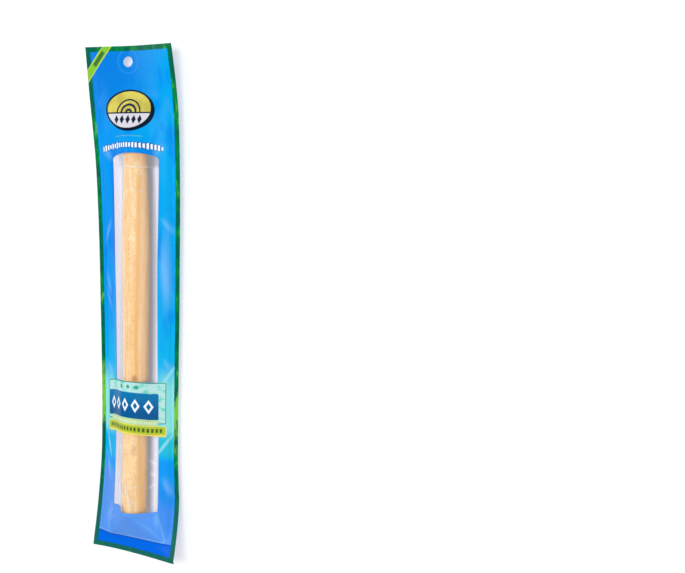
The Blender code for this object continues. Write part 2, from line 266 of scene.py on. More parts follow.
def tent_height(x, y):
    """How far the front film stands over the seams: a tent on the stick with a roof past each end."""
    radius = stick_radius(y) + TENT_ROOM
    beside = x - stick_in_pouch(y)
    root = half_width(y) - SIDE_SEAL - math.copysign(1, beside) * stick_in_pouch(y)
    rise = stick_height(y) - through(SEAM_HEIGHTS, y) - SEAM_ROOM
    tent = over_stick(abs(beside), root, rise, radius, SLACK)
    if y < FOOT_ROOF[0]:
        fall = (y - FOOT_ROOF[1]) / (FOOT_ROOF[0] - FOOT_ROOF[1])
    else:
        fall = (TOP_ROOF[1] - y) / (TOP_ROOF[1] - TOP_ROOF[0])
    if fall >= 1:
        return tent
    crown = rise + radius
    hip = ease((crown - tent) / (0.5 * crown))
    rounding = CREST_ROUNDING + (HIP_ROUNDING - CREST_ROUNDING) * hip * max(fall, 0.0)
    return max(lower_of(tent, upper_of(crown * fall, 0.0, FOOT_ROUNDING), rounding), 0.0)


print(f"pouch {POUCH_LENGTH / MM:.0f} mm long, window side {tent_height(0, 0) / MM:.1f} mm over its seams")

# %% [markdown]
# ## Creases
#
# Thin film never lies smooth. Where it is pulled over the stick it folds into short sharp ridges, which catch
# the light and turn white where the plastic is stressed; that white is partly painted highlight. They could
# be drawn in a bump map, but they show in the outline from the side, so they are part of the form. Each
# crease is a straight ridge that is highest in its middle and fades to its ends. They are few, so each is one
# line in a list.

# %% Ridges in a film
def ridge(x, y, crease):
    """Share of a crease's height at this place: 1 on its middle, 0 away from it."""
    x0, y0, x1, y1, width = (c * MM for c in crease[:5])
    along = Vector((x1 - x0, y1 - y0))
    reach = along.length
    along = along / reach
    place = Vector((x - x0, y - y0))
    t = place.dot(along)
    if t < 0 or t > reach:
        return 0.0
    away = abs(place.x * along.y - place.y * along.x) / width
    if away > 3:
        return 0.0
    return math.exp(-away * away) * math.sin(math.pi * t / reach) ** 2


def ridges(x, y, creases):
    """Height of all the creases at this place."""
    return sum(c[5] * MM * ridge(x, y, c) for c in creases)


# Each crease in millimetres: X and Y of its two ends, half its width, its height.
# The soft folds of the header are as high but wider, and they don't turn white.
POUCH_CREASES = (
    (-10.5, 37, -15.9, 23, 0.8, 0.40),
    (-15.5, 16, -10.6, 0, 0.8, 0.40),
    (-16, 8, -10, -5, 0.7, 0.35),
    (-16, -24, -10, -32, 0.8, 0.35),
    (-17, 66, -8, 59, 1.4, 0.30),
    (15, 68, 9, 60, 1.4, 0.30),
    (11.5, 37, 17.5, 28, 0.9, 0.40),
    (12.5, 30, 14.5, -6, 1.6, 0.45),
    (12, -22, 16, -30, 0.8, 0.35),
    (-16, -62, -11, -78, 1.2, 0.40),
    (12, -72, 17, -84, 1.2, 0.40),
    (-14, -97, -10, -84, 0.8, 0.35),
    (13, -98, 10, -86, 0.8, 0.35),
    (0.5, -89, 17, -102, 0.45, 0.22),
    (-5, -89.5, -12.5, -94, 0.45, 0.20),
)
SOFT_FOLDS = (
    (8, 97, 17, 80, 3.0, 0.35),
    (-13, 98, -8, 72, 3.0, 0.30),
)
WINDOW_CREASES = (
    (-10, 57.3, 11, 57.0, 0.18, 0.08),
    (1.4, 57, 1.8, 43, 0.15, 0.05),
    (-2, -74, 3, -90, 0.20, 0.12),
    (-6, -76, -2, -82, 0.22, 0.12),
    (-7.5, 20, -6.5, -10, 0.30, 0.06),
)


def waves(x, y, size, height):
    """Soft uneven waves of about this size."""
    return height * noise.noise(Vector((x / size, y / size, 0.37)))


def pouch_folds(x, y):
    return ridges(x, y, POUCH_CREASES + SOFT_FOLDS) + waves(x, y, 14 * MM, 0.12 * MM)


print(len(POUCH_CREASES) + len(WINDOW_CREASES), "creases")

# %% [markdown]
# ## Making shapes
#
# A few small helpers do what the mouse would do: deselect everything, pick faces or edges by their place, and
# apply a modifier. A new primitive comes in selected all over, and an operator works on all that is selected,
# so each step picks its own faces first. Each new piece keeps its place, turn and size in its mesh, so that
# its object stays at the origin and a pattern on it can't slide.

# %% Helpers for selecting and applying
def alone(piece):
    """Makes this piece the only selected and active one."""
    bpy.ops.object.select_all(action="DESELECT")
    piece.select_set(True)
    bpy.context.view_layer.objects.active = piece


def rename(piece, name):
    piece.name = name
    piece.data.name = name


def new_piece(name, scale=(1, 1, 1)):
    """Names the primitive that was just added, and keeps its place, turn and size in its mesh."""
    piece = bpy.context.active_object
    rename(piece, name)
    piece.scale = scale
    bpy.ops.object.transform_apply(location=True, rotation=True, scale=True)
    return piece


def pick(piece, kind, test):
    """In edit mode, selects the faces, edges or vertices that pass a test."""
    bpy.ops.mesh.select_mode(type=kind)
    bpy.ops.mesh.select_all(action="DESELECT")
    mesh = bmesh.from_edit_mesh(piece.data)
    found = {"FACE": mesh.faces, "EDGE": mesh.edges, "VERT": mesh.verts}[kind]
    for item in found:
        if test(item):
            item.select = True
    mesh.select_flush_mode()
    bmesh.update_edit_mesh(piece.data)


def apply(piece, modifier):
    alone(piece)
    bpy.ops.object.modifier_apply(modifier=modifier.name)


def triangles(piece):
    return sum(len(f.vertices) - 2 for f in piece.data.polygons)


# %% [markdown]
# ## The stick
#
# The root is a cylinder only at first sight. Peeling leaves three soft ribs that wind slowly round it, small
# knots where side roots grew, and fine grooves along its fibres. Its ends are sawn, so they are flat and
# rough with a worn rim. It could be built from a curve with a bevel, but a cylinder with inset ends gives
# clean rings for both the grooves and the sawn faces, and then its points are moved as a carver would move
# them.

# %% The peeled root
STICK_SIDES = 96
CUT_EDGE = 0.5 * MM
END_RINGS = 9
RIB_DEPTH = 0.22 * MM
RIB_TURN = math.radians(70)  # over the stick's length
# Y in millimetres, degrees from straight up towards +X, height and reach along Y in millimetres, and reach
# round the stick in radians.
KNOTS = (
    (26, 82, 0.30, 9, 0.60),
    (-31, 12, 0.22, 3, 0.45),
    (-60, -95, 0.28, 5, 0.50),
)
PITS = (  # small scars of side roots
    (-31.4, 26, 0.22, 1.1, 0.16),
    (-17.0, 4, 0.10, 0.5, 0.06),
    (31.0, 110, 0.08, 0.9, 0.08),
    (26.0, 111, 0.08, 0.6, 0.07),
    (18.5, 112, 0.08, 0.8, 0.07),
    (-62.0, 40, 0.08, 2.0, 0.20),
)


def bump_at(y, angle, bumps):
    """Sum of round bumps, each given by its place, height and reach along and round the stick."""
    total = 0.0
    for at, turn, height, along, around in bumps:
        off = angle - math.radians(turn)
        away = math.atan2(math.sin(off), math.cos(off))
        total += height * MM * math.exp(-(((y / MM - at) / along) ** 2) - (away / around) ** 2)
    return total


def fibres(y, angle):
    """Grooves of the peeled surface: long along the root, narrow across it."""
    around = Vector((math.cos(angle), math.sin(angle), 0))
    coarse = noise.noise(Vector((around.x * 3, around.y * 3, y / (22 * MM))))
    middle = noise.noise(Vector((around.x * 9 + 5, around.y * 9, y / (11 * MM))))
    fine = noise.noise(Vector((around.x * 24, around.y * 24 + 9, y / (4 * MM))))
    return 0.06 * MM * coarse + 0.05 * MM * middle + 0.035 * MM * fine


def grown_radius(y, angle):
    turn = RIB_TURN * (y - STICK_FOOT) / STICK_LENGTH
    hollow = RIB_DEPTH * (1 - math.cos(3 * (angle - turn))) / 2
    lift = min(bump_at(y, angle, KNOTS) - hollow, 0.05 * MM)
    return stick_radius(y) + lift - bump_at(y, angle, PITS) + fibres(y, angle)


def make_stick():
    bpy.ops.object.select_all(action="DESELECT")
    start = STICK_RADII[0][1]
    bpy.ops.mesh.primitive_cylinder_add(
        vertices=STICK_SIDES,
        radius=start,
        depth=STICK_LENGTH,
        location=(0, (STICK_FOOT + STICK_TOP) / 2, 0),
        rotation=(math.radians(-90), 0, 0),
    )
    stick = new_piece("peeled_stick")
    bpy.ops.object.mode_set(mode="EDIT")
    pick(stick, "EDGE", lambda e: abs(e.verts[0].co.y - e.verts[1].co.y) < MM)
    bpy.ops.mesh.bevel(offset=CUT_EDGE, segments=3, affect="EDGES")
    for cuts in (18, 17):
        pick(stick, "EDGE", is_lengthwise)
        bpy.ops.mesh.subdivide(number_cuts=cuts)
    pick(stick, "FACE", lambda f: abs(f.normal.y) > 0.99)
    for _ in range(END_RINGS):
        bpy.ops.mesh.inset(thickness=start / (END_RINGS + 2))
    bpy.ops.mesh.poke()
    bpy.ops.object.mode_set(mode="OBJECT")
    for v in stick.data.vertices:
        y = v.co.y
        share = math.hypot(v.co.x, v.co.z) / start
        angle = math.atan2(v.co.x, v.co.z)
        out = share * grown_radius(y, angle)
        if share < 0.92:
            y += math.copysign(sawn_depth(v.co.x, v.co.z), -y)
        v.co = Vector((
            stick_middle(v.co.y) + out * math.sin(angle),
            y,
            stick_height(v.co.y) + out * math.cos(angle),
        ))
    return stick


def is_lengthwise(edge):
    """True for the stick's long edges, away from its rims."""
    a, b = (v.co for v in edge.verts)
    return abs(a.y - b.y) > 0.3 * MM and math.hypot(a.x - b.x, a.z - b.z) < 0.05 * MM


def sawn_depth(x, z):
    """How far the sawn face lies under its rim: torn fibre ends."""
    torn = noise.noise(Vector((x / (0.35 * MM), z / (0.35 * MM), 0)))
    broad = noise.noise(Vector((x / (2.5 * MM), z / (2.5 * MM), 4)))
    return 0.12 * MM + 0.07 * MM * torn + 0.05 * MM * broad


stick = make_stick()
alone(stick)
bpy.ops.object.shade_smooth_by_angle(angle=math.radians(50))
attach(stick, "root")
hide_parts("miswak_stick")
print("stick:", triangles(stick), "triangles")

# %% [markdown]
# ## Flat films
#
# A film starts as a flat sheet of its cut size. Adding a grid with its UV map on gives just that: the UV map
# keeps each point's place on the flat film, whatever form the film takes later. The print is drawn on that
# map, as a press prints the film before it is folded. The grid's points are then moved to the pouch's form,
# and a Solidify modifier gives the film its thickness.

# %% Helpers for films
FILM = 0.15 * MM


def flat_film(name, width, length, columns, rows):
    """A flat sheet round the origin, with its UV map running from 0 to 1 over it."""
    bpy.ops.object.select_all(action="DESELECT")
    bpy.ops.mesh.primitive_grid_add(x_subdivisions=columns, y_subdivisions=rows, size=1, calc_uvs=True)
    return new_piece(name, (width, length, 1))


def thicken(film, offset):
    """Gives a film its thickness: offset -1 keeps its upper face in place, 1 its lower face."""
    wall = film.modifiers.new("thickness", "SOLIDIFY")
    wall.thickness = FILM
    wall.offset = offset
    wall.use_even_offset = False
    apply(film, wall)


def cut(film, cutter):
    """Cuts the cutter's shape out of a film."""
    hole = film.modifiers.new("cut", "BOOLEAN")
    hole.operation = "DIFFERENCE"
    hole.solver = "EXACT"
    hole.object = cutter
    apply(film, hole)


def stress(film, middle, share):
    """Keeps, for every point, how much the material turns the film whiter there: its creases and milky fins,
    and on the print a painted highlight too.
    """
    creased = film.data.attributes.new("creased", "FLOAT", "POINT")
    places = [(v.co.x - middle(v.co.y), v.co.y) for v in film.data.vertices]
    creased.data.foreach_set("value", [share(x, y) for x, y in places])


def finish_film(film, node):
    alone(film)
    bpy.ops.object.shade_smooth_by_angle(angle=math.radians(40))
    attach(film, "root")
    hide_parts(node)
    print(film.name, triangles(film), "triangles")


# %% Cutters for the window and the hang hole
WINDOW_TOP = 61 * MM
WINDOW_FOOT = -87.5 * MM
WINDOW_LEFT = millimetres((WINDOW_FOOT / MM, -8.9), (-30, -7.9), (18, -8.5), (WINDOW_TOP / MM, -9.4))
WINDOW_RIGHT = millimetres((WINDOW_FOOT / MM, 11.2), (-30, 10.4), (18, 10.7), (WINDOW_TOP / MM, 11.6))
BAND_TOP = -33.3 * MM
BAND_FOOT = -55.6 * MM
BAND_BOW = 1.0  # millimetres that the printed band's middle stands higher than a straight band
BAND_BOW_MIDDLE = -3  # millimetres
BAND_BOW_REACH = 12
BAND_SLOPE = 0.0644  # a row at the pouch's middle would rise this much for each millimetre to the right
BAND_FAN = 0.00211  # and falls this much more for each millimetre that it lies towards the foot
TOP_BOW = 1.8 * MM  # how far the window's top end bows outwards
FOOT_BOW = 0.9 * MM
FOOT_TILT = 0.7 * MM  # the window's foot falls this much towards its right-hand corner
FOOT_CORNER = (  # at its left-hand corner the print rises beside the stick: share of half its width, rise
    (-1, 0.7 * MM), (-0.60, 2.1 * MM), (-0.46, 1.7 * MM), (-0.42, 0), (0, 0), (1, 0)
)
WINDOW_CORNER = 1.2 * MM
HOLE_CENTRE = (-4.1 * MM, 100.9 * MM)
HOLE_RADIUS = 2.2 * MM
CUTTER_HEIGHT = 60 * MM


def window_x(share, y):
    """X at a share of the window's width, from -1 at its left side to 1 at its right side."""
    left, right = through(WINDOW_LEFT, y), through(WINDOW_RIGHT, y)
    return (left + right) / 2 + share * (right - left) / 2


def on_band(p, row):
    """The print's q for a row of the band, in millimetres."""
    bow = BAND_BOW * max(0.0, 1 - ((p - BAND_BOW_MIDDLE) / BAND_BOW_REACH) ** 2)
    return row + bow + p * (BAND_SLOPE + BAND_FAN * row)


def window_y(share, y):
    """Y of a place near the window's ends, which bow outwards in their middle."""
    bow = max(0.0, 1 - share**2)
    if abs(y - WINDOW_TOP) < 2 * WINDOW_CORNER:
        return y + TOP_BOW * bow
    if abs(y - WINDOW_FOOT) < 2 * WINDOW_CORNER:
        return y - FOOT_BOW * bow - FOOT_TILT * share + through(FOOT_CORNER, share)
    if abs(y - BAND_TOP) < MM or abs(y - BAND_FOOT) < MM:
        return on_band(window_x(share, y) / MM, y / MM) * MM
    return y


def span(edge, axis):
    return abs(edge.verts[0].co[axis] - edge.verts[1].co[axis])


def window_cutter(low, high):
    """A tall box, rounded only at the window's top end, bent to the window's outline on the pouch."""
    width = 20 * MM
    bpy.ops.object.select_all(action="DESELECT")
    bpy.ops.mesh.primitive_cube_add(size=1, location=(0, (low + high) / 2, 0))
    box = new_piece("window_cutter", (width, high - low, CUTTER_HEIGHT))
    bpy.ops.object.mode_set(mode="EDIT")
    pick(box, "EDGE", lambda e: span(e, 2) > MM and e.verts[0].co.y > WINDOW_TOP - MM)
    bpy.ops.mesh.bevel(offset=WINDOW_CORNER, segments=5, affect="EDGES")
    for axis, cuts in ((0, 40), (1, 12)):
        pick(box, "EDGE", lambda e: span(e, axis) > 3 * MM)
        bpy.ops.mesh.subdivide(number_cuts=cuts)
    bpy.ops.object.mode_set(mode="OBJECT")
    for v in box.data.vertices:
        share, y = 2 * v.co.x / width, v.co.y
        v.co.y = window_y(share, y)
        v.co.x = window_x(share, y) + lean(y)
    return box


def hole_cutter():
    bpy.ops.object.select_all(action="DESELECT")
    bpy.ops.mesh.primitive_cylinder_add(
        vertices=48, radius=HOLE_RADIUS, depth=CUTTER_HEIGHT, location=(*HOLE_CENTRE, 0)
    )
    return new_piece("hole_cutter")


cutters = {
    "upper_window": window_cutter(BAND_TOP, WINDOW_TOP),
    "lower_window": window_cutter(WINDOW_FOOT, BAND_FOOT),
    "hang_hole": hole_cutter(),
}
print("cutters:", ", ".join(cutters))

# %% [markdown]
# ## The printed films
#
# The front film runs over the stick as a tent and down to the seals, and the back film lies under it. At the
# seals the two are welded, so there they come together until they touch. The windows and the hang hole are
# cut with Boolean modifiers, because a cutter gives clean round corners that a square grid can't. The back
# film takes its creases from the front one only near the seals, where the two move together.

# %% The front film
WELD_DROP = 0.3 * MM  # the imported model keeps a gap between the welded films; here they close up
WELD_START = 1.2 * MM  # tent height at which the films begin to meet
SEAL_STEP = 0.08 * MM
SEAL_STEP_WIDTH = 0.9 * MM
PANEL_LIFT = 0.20 * MM
PANEL_EDGE = 0.7 * MM  # the panel rises over this width
PANEL_HIGHLIGHT_WIDTH = 0.28 * MM


def welded(x, y):
    """1 where front and back film lie on each other, 0 where the stick holds them apart."""
    return 1 - ease(tent_height(x, y) / WELD_START)


def seal_step(x, y):
    """A small step along the inner edge of the seals, pressed in by the sealing bars."""
    from_foot = y + FOOT_SKEW * x / half_width(y) - FOOT_EDGE - FOOT_SEAL + SIDE_SEAL
    from_edge = min(half_width(y) - abs(x), TOP_EDGE - y + 2 * MM, from_foot)
    return SEAL_STEP * ease((from_edge - SIDE_SEAL) / SEAL_STEP_WIDTH)


def in_sleeve_end(x, y):
    """Distance inside the edge of the sleeve's flat end, which shows through the film at the foot."""
    past = max(-88 * MM - y, 0.0)
    from_left = x + 10.4 * MM + past * 0.27
    from_right = 11.0 * MM + past * 0.42 - x
    from_foot = y + 100.7 * MM + x * 0.04
    return lower_of(lower_of(from_left, from_right, 0.3 * MM), from_foot, 0.6 * MM)


def at_foot(y):
    """1 past the stick's foot, falling to 0 beside the stick."""
    return ease((-84 * MM - y) / (5 * MM))


def pressed_panel(x, y):
    """The film stands a little higher over that flat end."""
    return PANEL_LIFT * ease(in_sleeve_end(x, y) / PANEL_EDGE) * at_foot(y)


def stress_white_and_highlight(x, y):
    """How much the print is whitened here: along the ridges by stress and partly as painted highlight, and
    round the pressed panel as a painted highlight line.
    """
    rim = math.exp(-(((in_sleeve_end(x, y) - 0.3 * MM) / PANEL_HIGHLIGHT_WIDTH) ** 2)) * at_foot(y)
    return min(1.0, ridges(x, y, POUCH_CREASES) / (0.5 * MM) + 0.9 * rim)


def front_top(x, y):
    """Upper face of the front film."""
    height = seam_height(x, y) + SEAM_ROOM + tent_height(x, y) + pouch_folds(x, y)
    return height + seal_step(x, y) + pressed_panel(x, y) - WELD_DROP * welded(x, y)


def on_pouch(v, height):
    """Moves a point of a flat film to its place on the pouch."""
    share = v.co.x / (FILM_WIDTH / 2)
    skew = FOOT_SKEW * share * ease((FOOT_ROOF[0] - v.co.y) / (FOOT_ROOF[0] - FOOT_EDGE))
    x, y = share * half_width(v.co.y), v.co.y - skew
    v.co = Vector((x + lean(y), y, height(x, y)))


front = flat_film("printed_front", FILM_WIDTH, POUCH_LENGTH, 84, 390)
for v in front.data.vertices:
    on_pouch(v, front_top)
stress(front, lean, stress_white_and_highlight)
thicken(front, -1)
for cutter in cutters.values():
    cut(front, cutter)
finish_film(front, "pouch_front")

# %% The back film
BACK_WELD_LIFT = 0.27 * MM


def back_level(x, y):
    """The back film's height: flat on the table under the stick, rising to the seals."""
    root = half_width(y) - SIDE_SEAL
    rise = ease((abs(x) - FLAT_STRIP) / (root - FLAT_STRIP))
    return seam_height(x, y) * (1 - stick_share(y) * (1 - rise))


def back_underside(x, y):
    """Lower face of the back film, with the front film's folds near the seals."""
    return max(back_level(x, y) + welded(x, y) * (pouch_folds(x, y) + BACK_WELD_LIFT), 0.0)


back = flat_film("printed_back", FILM_WIDTH, POUCH_LENGTH, 60, 280)
for v in back.data.vertices:
    on_pouch(v, back_underside)
thicken(back, 1)
cut(back, cutters["hang_hole"])
finish_film(back, "pouch_back")

# %% [markdown]
# ## The clear films
#
# Behind the window the pouch is clear film, and the stick lies in a second, softer sleeve of its own. Both
# hug the stick where it is thick and go straight where it isn't. They are made like the printed films, one
# layer further in each time. The sleeve is two webs, welded along their fins and past the stick's ends.

# %% The window film
WINDOW_LAP = 2 * MM
UNDER_PRINT = 0.18 * MM
LAP_SHARE = 1.2  # the clear film's width as a share of the window's
WINDOW_FILM_WIDTH = 24 * MM

window_length = WINDOW_TOP - WINDOW_FOOT + 2 * (WINDOW_LAP + TOP_BOW)
window = flat_film("window_film_clear", WINDOW_FILM_WIDTH, window_length, 60, 320)
for v in window.data.vertices:
    y = v.co.y + (WINDOW_TOP + WINDOW_FOOT) / 2
    x = window_x(LAP_SHARE * v.co.x / (WINDOW_FILM_WIDTH / 2), y)
    v.co = Vector((x + lean(y), y, front_top(x, y) + ridges(x, y, WINDOW_CREASES)))
window.data.update()
inwards = [v.co - v.normal * UNDER_PRINT for v in window.data.vertices]
for v, place in zip(window.data.vertices, inwards):
    v.co = place
stress(window, lean, lambda x, y: min(1.0, ridges(x, y, WINDOW_CREASES) / (0.12 * MM)))
thicken(window, -1)
finish_film(window, "window_film")

# %% The sleeve
SLEEVE_FOOT = -96.5 * MM
SLEEVE_TOP = 72.5 * MM
SLEEVE_END_HALF = 11.5 * MM
SLEEVE_HALF = 9.6 * MM
SLEEVE_ROOT = 7.7 * MM
SLEEVE_FIN = 3.1 * MM
SLEEVE_CLOSING = 5.5 * MM
SLEEVE_GAP = 0.35 * MM
SLEEVE_BACK_LIFT = 0.25 * MM
WELD_PAST_STICK = 1.2 * MM  # the webs begin to meet this far past the stick's ends
TUBE_SHARE = 0.8  # of a web's width goes round the stick, the rest makes its fins
SLEEVE_CREASES = (
    (-4.5, 47.8, -1, 47.1, 0.22, 0.10),
    (-0.5, 47.4, 2.5, 47.8, 0.22, 0.12),
    (3.2, 47.5, 5.6, 47.0, 0.22, 0.12),
    (-2.0, -77.0, 1.5, -78.2, 0.22, 0.13),
    (1.0, -78.2, 4.6, -77.0, 0.22, 0.15),
    (6.2, -66, 9, -70, 0.25, 0.14),
    (6.5, -72, 9.2, -75, 0.25, 0.14),
    (6.0, -79, 9.2, -77, 0.25, 0.14),
    (-9.3, -60, -6.5, -66, 0.30, 0.12),
)


def sleeve_half(y):
    past = max(STICK_FOOT - y, y - STICK_TOP, 0.0)
    return SLEEVE_HALF + (SLEEVE_END_HALF - SLEEVE_HALF) * ease(past / SLEEVE_CLOSING)


def sleeve_open(y):
    """1 round the stick, falling to 0 where the two webs are welded."""
    past = max(STICK_FOOT - WELD_PAST_STICK - y, y - STICK_TOP - WELD_PAST_STICK, 0.0)
    return 1 - ease(past / SLEEVE_CLOSING)


def sleeve_level(x, y):
    """Height of the fins: past the stick's ends they stay clear of the back film."""
    under = back_level(x + stick_in_pouch(y), y)
    return SLEEVE_FIN + max(under + SEAM_ROOM - SLEEVE_FIN, 0.0) * (1 - sleeve_open(y))


def sleeve_hump(x, y, rise):
    radius = stick_radius(y) + SLEEVE_GAP
    return over_stick(abs(x), SLEEVE_ROOT, rise, radius) * sleeve_open(y)


def sleeve_front_top(x, y):
    level = sleeve_level(x, y) + LAYER
    folds = ridges(x, y, SLEEVE_CREASES) + waves(x, y, 5 * MM, 0.05 * MM)
    return level + sleeve_hump(x, y, stick_height(y) - SLEEVE_FIN - LAYER) + folds


def sleeve_back_underside(x, y):
    level = sleeve_level(x, y) + SLEEVE_BACK_LIFT
    return level - sleeve_hump(x, y, SLEEVE_FIN + SLEEVE_BACK_LIFT - stick_height(y))


def web_x(share, y):
    """X from the stick's middle, at a share of half the web's width: round the stick, then along the fin."""
    if abs(share) < TUBE_SHARE:
        return SLEEVE_ROOT * math.sin(share / TUBE_SHARE * math.pi / 2)
    fin = (sleeve_half(y) - SLEEVE_ROOT) * (abs(share) - TUBE_SHARE) / (1 - TUBE_SHARE)
    return math.copysign(SLEEVE_ROOT + fin, share)


def make_web(name, height):
    web = flat_film(name, 2 * SLEEVE_HALF, SLEEVE_TOP - SLEEVE_FOOT, 56, 300)
    for v in web.data.vertices:
        y = v.co.y + (SLEEVE_TOP + SLEEVE_FOOT) / 2
        x = web_x(v.co.x / SLEEVE_HALF, y)
        v.co = Vector((x + stick_middle(y), y, height(x, y)))
    return web


def fin_haze(x, y):
    """The fins are two webs welded and crumpled, so they are milky, but clearer near the top seal."""
    in_fin = ease((abs(x) - SLEEVE_ROOT + 1.0 * MM) / (1.6 * MM))
    return (1.2 - 0.9 * ease((y - 56 * MM) / (2 * MM))) * in_fin


def sleeve_stress(x, y):
    return fin_haze(x, y) + 0.5 * ridges(x, y, SLEEVE_CREASES) / (0.12 * MM)


sleeve_front = make_web("sleeve_upper_web", sleeve_front_top)
stress(sleeve_front, stick_middle, sleeve_stress)
thicken(sleeve_front, -1)
finish_film(sleeve_front, "sleeve_front")

sleeve_back = make_web("sleeve_lower_web", sleeve_back_underside)
stress(sleeve_back, stick_middle, fin_haze)
thicken(sleeve_back, 1)
finish_film(sleeve_back, "sleeve_back")

for cutter in cutters.values():
    bpy.data.objects.remove(cutter)

# %% [markdown]
# ## Building materials from nodes
#
# Every finish here is worked out by nodes, so it stays sharp at any size and needs no picture files. A
# material like a print is a stack: a ground colour first, then one motif after another laid over it through a
# mask. Wiring each Math node by hand would hide that. So a node's output is wrapped as a Wire, and plain sums
# and products of wires add the nodes, as if the numbers themselves were being reckoned with.

# %% Wires between nodes
class Wire:
    """A node's output. Arithmetic on it adds Math nodes to its material."""

    def __init__(self, tree, socket):
        self.tree = tree
        self.socket = socket

    def __add__(self, other):
        return calc("ADD", self, other)

    def __sub__(self, other):
        return calc("SUBTRACT", self, other)

    def __rsub__(self, other):
        return calc("SUBTRACT", other, self)

    def __mul__(self, other):
        return calc("MULTIPLY", self, other)

    def __truediv__(self, other):
        return calc("DIVIDE", self, other)

    def __abs__(self):
        return calc("ABSOLUTE", self)


def feed(tree, node, inputs):
    """Sets a node's inputs, or wires them."""
    for name, value in inputs.items():
        if isinstance(value, Wire):
            tree.links.new(value.socket, node.inputs[name])
        else:
            node.inputs[name].default_value = value


def add_node(tree, kind, inputs, output=0, **settings):
    """Adds a node, feeds it, and gives back one of its outputs."""
    node = tree.nodes.new(kind)
    for name, value in settings.items():
        setattr(node, name, value)
    feed(tree, node, inputs)
    return Wire(tree, node.outputs[output])


def calc(operation, *values):
    """One Math node, and its result."""
    tree = next(value.tree for value in values if isinstance(value, Wire))
    return add_node(tree, "ShaderNodeMath", dict(enumerate(values)), operation=operation)


def away(u, v):
    """Distance from a middle, from its two parts."""
    return calc("SQRT", u * u + v * v)


# %% Colours, masks and noise
def paint(red, green, blue):
    """The colour of these screen values, 0 to 255, as a shader needs it."""
    def linear(c):
        c = c / 255
        return c / 12.92 if c <= 0.04045 else ((c + 0.055) / 1.055) ** 2.4

    return (linear(red), linear(green), linear(blue), 1)


def over(under, colour, mask):
    """Lays a colour over another one through a mask."""
    return add_node(mask.tree, "ShaderNodeMix", {0: mask, 6: under, 7: colour}, 2, data_type="RGBA")


def fade(value, low, high):
    """0 below low and 1 above high, or the other way round if low is the larger one."""
    inputs = {"Value": value, "From Min": min(low, high), "From Max": max(low, high)}
    inputs["To Min"], inputs["To Max"] = (1.0, 0.0) if low > high else (0.0, 1.0)
    return add_node(value.tree, "ShaderNodeMapRange", inputs, "Result", interpolation_type="SMOOTHSTEP")


def vector(x, y, z=0.0):
    return add_node(x.tree, "ShaderNodeCombineXYZ", {0: x, 1: y, 2: z})


def cloud(place, scale, detail=3.0, roughness=0.55):
    """Soft noise from 0 to 1 at this place."""
    inputs = {"Vector": place, "Scale": scale, "Detail": detail, "Roughness": roughness}
    return add_node(place.tree, "ShaderNodeTexNoise", inputs, "Fac")


def split(place):
    """The three parts of a place."""
    parts = place.tree.nodes.new("ShaderNodeSeparateXYZ")
    feed(place.tree, parts, {0: place})
    return [Wire(place.tree, part) for part in parts.outputs]


def object_millimetres(tree):
    """The place on the object as X, Y and Z in millimetres."""
    return [part * (1 / MM) for part in split(add_node(tree, "ShaderNodeTexCoord", {}, "Object"))]


# %% Materials and their shaders
def new_material(name):
    material = bpy.data.materials.new(name)
    material.use_nodes = True
    return material, material.node_tree


def set_shader(material, inputs, bump=None, distance=0.0, strength=1.0):
    """Feeds a material's shader, and gives it a bump from a height."""
    tree = material.node_tree
    if bump:
        heights = {"Strength": strength, "Distance": distance, "Height": bump}
        inputs["Normal"] = add_node(tree, "ShaderNodeBump", heights, "Normal")
    feed(tree, tree.nodes["Principled BSDF"], inputs)


def dress(piece, *materials):
    piece.data.materials.clear()
    for material in materials:
        piece.data.materials.append(material)


# %% [markdown]
# ## Root wood
#
# Freshly peeled root is pale and warm, with fine darker fibres along it. Where the peel went deeper a golden
# core shows as a long streak, and old side roots leave small brown scars. The fibres are noise that is
# stretched along Y. The streak and the scars are masks at their own places, because a random pattern would
# put them anywhere. The sawn ends get a second material with rings and torn fibres.

# %% The peeled wood
TOP, SIDE = "top", "side"
SCARS = (  # face, X on top or Z on the right side, Y, reach across and along in millimetres, strength
    (TOP, 2.9, -31.4, 1.4, 1.9, 0.75),
    (TOP, -0.6, -17.0, 0.3, 0.5, 0.35),
    (TOP, 2.6, -62.0, 1.4, 2.8, 0.28),
    (SIDE, 4.9, 31.0, 0.6, 1.4, 0.50),
    (SIDE, 4.8, 26.0, 0.5, 0.7, 0.50),
    (SIDE, 4.7, 18.5, 0.6, 0.9, 0.50),
)
STREAK_X = 4.2  # millimetres
STREAK_TOP = (58.0, 48.0)
OVERHANG_SHADE_TOP = (56.5, 60.0)  # painted shade: near the window's top end the wood is darker, as the print's overhang shades it
